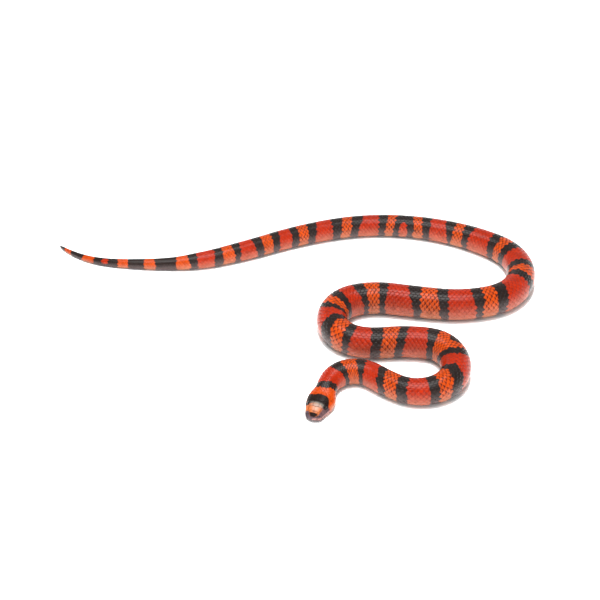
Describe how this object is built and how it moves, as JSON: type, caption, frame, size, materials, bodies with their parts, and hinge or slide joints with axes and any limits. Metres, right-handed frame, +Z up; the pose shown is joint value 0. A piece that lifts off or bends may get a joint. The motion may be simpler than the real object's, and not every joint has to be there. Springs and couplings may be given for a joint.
{
  "type": "milk snake model",
  "caption": "Still, life-size display model of a banded milk snake lying in loose S-shaped curves, head low on the floor.",
  "frame": {"origin": "centre of the snake's box at floor level", "axes": "+X along the widest spread of the curves, to the viewer's right; +Y away from the viewer, who faces the head; +Z up from the floor"},
  "size_m": [0.4656, 0.2971, 0.0276],
  "materials": {
    "scarlet_skin": "smooth glossy scales, scarlet with black and orange rings",
    "orange_skin": "smooth glossy scales, bright orange with black rings",
    "black_skin": "smooth glossy scales, charcoal black with orange rings",
    "dark_eye": "wet-looking dark eye under a clear cap"
  },
  "bodies": {
    "root": {"head": "orange_skin", "eye_left": "dark_eye", "eye_right": "dark_eye", "neck": "scarlet_skin", "body_01": "scarlet_skin", "body_02": "scarlet_skin", "body_03": "scarlet_skin", "body_04": "scarlet_skin", "body_05": "scarlet_skin", "body_06": "scarlet_skin", "body_07": "scarlet_skin", "body_08": "scarlet_skin", "body_09": "scarlet_skin", "body_10": "scarlet_skin", "body_11": "scarlet_skin", "body_12": "scarlet_skin", "body_13": "scarlet_skin", "body_14": "scarlet_skin", "body_15": "scarlet_skin", "body_16": "scarlet_skin", "body_17": "scarlet_skin", "tail_base": "orange_skin", "tail_tip": "black_skin"}
  },
  "joints": []
}
